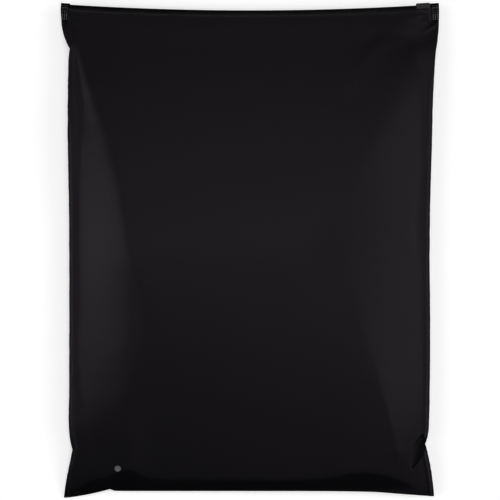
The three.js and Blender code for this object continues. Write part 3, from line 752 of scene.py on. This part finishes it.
# Vent hole near the lower left corner
# the hole's wall and bottom take the painted-shade grey
vent = {"x": -104.7, "y": -172.8, "radius": 2.6, "depth": 1.4, "sides": 40, "punch": 30.0}


def punchVent(pouch):
    bm = bmesh.new()
    x, y = vent["x"], vent["y"]
    middle = frontHeight(x, y) - vent["depth"] + vent["punch"] / 2
    bmesh.ops.create_cone(
        bm, cap_ends=True, segments=vent["sides"], radius1=vent["radius"], radius2=vent["radius"],
        depth=vent["punch"], matrix=Matrix.Translation((x, y, middle)),
    )
    bmesh.ops.scale(bm, vec=(mm, mm, mm), verts=bm.verts[:])
    punch = newObject("ventPunch", bm, [ventShadeGrey])
    cut = pouch.modifiers.new("vent", "BOOLEAN")
    cut.operation, cut.object, cut.solver = "DIFFERENCE", punch, "EXACT"
    cut.material_mode = "TRANSFER"
    with bpy.context.temp_override(object=pouch, active_object=pouch, selected_objects=[pouch]):
        bpy.ops.object.modifier_apply(modifier=cut.name)
    bpy.data.objects.remove(punch)
    print("vent punched")


pouch = buildPouch()
punchVent(pouch)

# Pips pressed into the film at the crimped zip ends
knurl = {
    "pitch": 1.7,
    "height": 0.45,
    "rise": 0.4,
    "inset": 1.7,
    "columns": 3,
    "sides": 4,
    "tip": 0.42,
    "squash": 0.72,
    "rows": (  # distance above the zip line, width
        (3.05, 0.42), (1.35, 0.62), (-1.05, 0.42), (-2.7, 0.52),
        (-4.35, 0.66), (-6.0, 0.66), (-7.65, 0.62),
    ),
}


def zipPlace(x):
    turn = Matrix.Rotation(math.asin(x / zipRadius), 4, "Z")
    return Matrix.Translation((x, zipLine(x), bag["zipRise"])) @ turn


def buildPips():
    bm = bmesh.new()
    pitch, height = knurl["pitch"], knurl["height"]
    quarter = Matrix.Rotation(math.pi / 4, 4, "Z")
    squash = Matrix.Diagonal((1, knurl["squash"], 1, 1))
    lift = Matrix.Translation((0, 0, zipTrack["crimpHalf"] + height * knurl["rise"])) @ squash
    for end in (-1, 1):
        for column in range(knurl["columns"]):
            place = zipPlace(end * (halfWidth - knurl["inset"] - column * pitch))
            for row, width in knurl["rows"]:
                for turn in (0, math.pi):
                    face = Matrix.Translation((0, row, 0)) @ Matrix.Rotation(turn, 4, "X")
                    bmesh.ops.create_cone(
                        bm, cap_ends=True, segments=knurl["sides"], radius1=width / math.sqrt(2),
                        radius2=width * knurl["tip"], depth=height, matrix=place @ face @ lift @ quarter,
                    )
    bmesh.ops.scale(bm, vec=(mm, mm, mm), verts=bm.verts[:])
    newPiece("crimp_pips", bm, [pipGlintFilm], "bag")


buildPips()

# Slider, built along its own length and set on the bowed zip
runner = {
    "park": 137.3,
    "length": 10.6,
    "halfDepth": 3.0,
    "foot": 0.4,
    "head": 5.6,
    "ceiling": 4.3,
    "lip": 0.8,
    "lipHalf": 1.45,
    "boreHalf": 2.05,
    "keelHalf": 0.35,
    "keelFoot": 3.6,
    "endRound": 1.5,
    "endSteps": 5,
    "headRound": 0.6,
    "headSteps": 3,
    "gripInset": 1.0,
    "gripDepth": 0.35,
    "near": 0.01,
    "boreGap": 0.1,
    "sharpAngle": 35.0,
}


def buildSlider():
    r = runner
    outline = [
        (r["halfDepth"], r["foot"]), (r["halfDepth"], r["head"]), (-r["halfDepth"], r["head"]),
        (-r["halfDepth"], r["foot"]), (-r["lipHalf"], r["foot"]), (-r["lipHalf"], r["lip"]),
        (-r["boreHalf"], r["lip"]), (-r["boreHalf"], r["ceiling"]), (-r["keelHalf"], r["ceiling"]),
        (-r["keelHalf"], r["keelFoot"]), (r["keelHalf"], r["keelFoot"]), (r["keelHalf"], r["ceiling"]),
        (r["boreHalf"], r["ceiling"]), (r["boreHalf"], r["lip"]), (r["lipHalf"], r["lip"]),
        (r["lipHalf"], r["foot"]),
    ]
    bm = bmesh.new()
    half = r["length"] / 2
    end = bm.faces.new([bm.verts.new((-half, h, z)) for z, h in outline])
    swept = bmesh.ops.extrude_face_region(bm, geom=[end])["geom"]
    farVerts = [g for g in swept if isinstance(g, bmesh.types.BMVert)]
    bmesh.ops.translate(bm, vec=(r["length"], 0, 0), verts=farVerts)
    bmesh.ops.recalc_face_normals(bm, faces=bm.faces[:])

    def edgesAt(test):
        return [e for e in bm.edges if all(test(v.co) for v in e.verts)]

    def soften(edges, size, steps):
        bmesh.ops.bevel(
            bm, geom=edges, offset=size, offset_type="OFFSET", affect="EDGES", segments=steps,
            profile=0.5, material=-1, clamp_overlap=True,
        )

    def onHead(c):
        return c.y > r["head"] - near and (abs(c.z) > r["boreHalf"] + r["boreGap"] or abs(c.x) > half - near)

    near = r["near"]
    deep = r["halfDepth"] - near
    for side in (-1, 1):
        ends = edgesAt(lambda c: abs(abs(c.x) - half) < near and c.z * side > deep)
        soften(ends, r["endRound"], r["endSteps"])
    soften(edgesAt(onHead), r["headRound"], r["headSteps"])
    grips = [f for f in bm.faces if abs(f.normal.z) > 1 - near and abs(f.calc_center_median().z) > deep]
    bmesh.ops.inset_individual(bm, faces=grips, thickness=r["gripInset"], depth=-r["gripDepth"])
    bmesh.ops.transform(bm, matrix=Matrix.Scale(mm, 4) @ zipPlace(r["park"]), verts=bm.verts[:])
    for face in bm.faces:
        face.smooth = True
    slider = newPiece("zip_slider", bm, [sliderPlastic], "slider", ["slider"])
    slider.data.set_sharp_from_angle(angle=math.radians(r["sharpAngle"]))


buildSlider()
for name in ("front_zip_strip", "rear_zip_strip"):
    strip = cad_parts[name]
    strip.data.materials.clear()
    strip.data.materials.append(zipPlastic)

# Floor, lights and camera
studio = {
    "floorSize": 6.0,
    "floorDrop": 0.0002,
    "floorColour": (0.8, 0.8, 0.8),
    "floorRoughness": 0.9,
    "floorSpecular": 0.1,
    "floorGlow": 0.4,
    "lampAim": (0.0, 0.0, 0.02),
    "worldGlow": 0.02,
    "sensor": 36.0,
    "lens": 100.0,
    "viewWidth": 0.3958,
    "seamHeight": 0.0125,
    "aim": (0.00008, 0.00024),
}
softboxes = {  # azimuth and elevation in degrees, distance, width, height in metres, radiance
    "leftBox": (183, 31, 1.25, 0.67, 1.56, 2.87),
    "rightBox": (-3, 28, 1.25, 1.186, 1.40, 2.13),
    "farBox": (103, 31, 1.25, 0.5, 0.35, 0.35),
    "overhead": (8, 84.9, 1.35, 2.1, 0.263, 3.05),
    "overheadStrip": (104, 83.4, 1.35, 1.83, 0.204, 2.3),
}


def buildFloor():
    bm = bmesh.new()
    bmesh.ops.create_grid(bm, x_segments=1, y_segments=1, size=studio["floorSize"] / 2)
    bmesh.ops.translate(bm, vec=(0, 0, -studio["floorDrop"]), verts=bm.verts[:])
    material = bpy.data.materials.new("whiteFloor")
    material.use_nodes = True
    nodes, links = material.node_tree.nodes, material.node_tree.links
    shader = nodes["Principled BSDF"]
    shader.inputs["Base Color"].default_value = (*studio["floorColour"], 1)
    shader.inputs["Roughness"].default_value = studio["floorRoughness"]
    shader.inputs["Specular IOR Level"].default_value = studio["floorSpecular"]
    shader.inputs["Emission Color"].default_value = (1, 1, 1, 1)

    def either(first, second):
        total = nodes.new("ShaderNodeMath")
        total.operation, total.use_clamp = "ADD", True
        links.new(first, total.inputs[0])
        links.new(second, total.inputs[1])
        return total.outputs["Value"]

    path = nodes.new("ShaderNodeLightPath").outputs
    seen = either(path["Is Camera Ray"], path["Is Glossy Ray"])
    glow = nodes.new("ShaderNodeMath")
    glow.operation = "MULTIPLY"
    glow.inputs[1].default_value = studio["floorGlow"]
    links.new(either(seen, path["Is Transmission Ray"]), glow.inputs[0])
    links.new(glow.outputs["Value"], shader.inputs["Emission Strength"])
    floor = newObject("floor", bm, [material])


def addSoftbox(name, azimuth, elevation, distance, width, height, radiance):
    light = bpy.data.lights.new(name, "AREA")
    light.shape = "RECTANGLE"
    light.size, light.size_y = width, height
    light.energy = math.pi * width * height * radiance
    lamp = bpy.data.objects.new(name, light)
    a, e = math.radians(azimuth), math.radians(elevation)
    aim = Vector(studio["lampAim"])
    away = Vector((math.cos(e) * math.cos(a), math.cos(e) * math.sin(a), math.sin(e)))
    lamp.location = aim + distance * away
    lamp.rotation_euler = (aim - lamp.location).to_track_quat("-Z", "Y").to_euler()
    lamp.visible_camera = False
    bpy.context.scene.collection.objects.link(lamp)


buildFloor()
for name, values in softboxes.items():
    addSoftbox(name, *values)

world = bpy.data.worlds.new("studioWorld")
world.use_nodes = True
sky = world.node_tree.nodes["Background"]
sky.inputs["Color"].default_value = (1, 1, 1, 1)
sky.inputs["Strength"].default_value = studio["worldGlow"]
bpy.context.scene.world = world

camera = bpy.data.cameras.new("camera")
camera.sensor_width = studio["sensor"]
camera.lens = studio["lens"]
viewer = bpy.data.objects.new("camera", camera)
distance = studio["lens"] / camera.sensor_width * studio["viewWidth"]
viewer.location = (*studio["aim"], studio["seamHeight"] + distance)
bpy.context.scene.collection.objects.link(viewer)
bpy.context.scene.camera = viewer
bpy.context.scene.view_settings.view_transform = "Standard"
print("studio set")
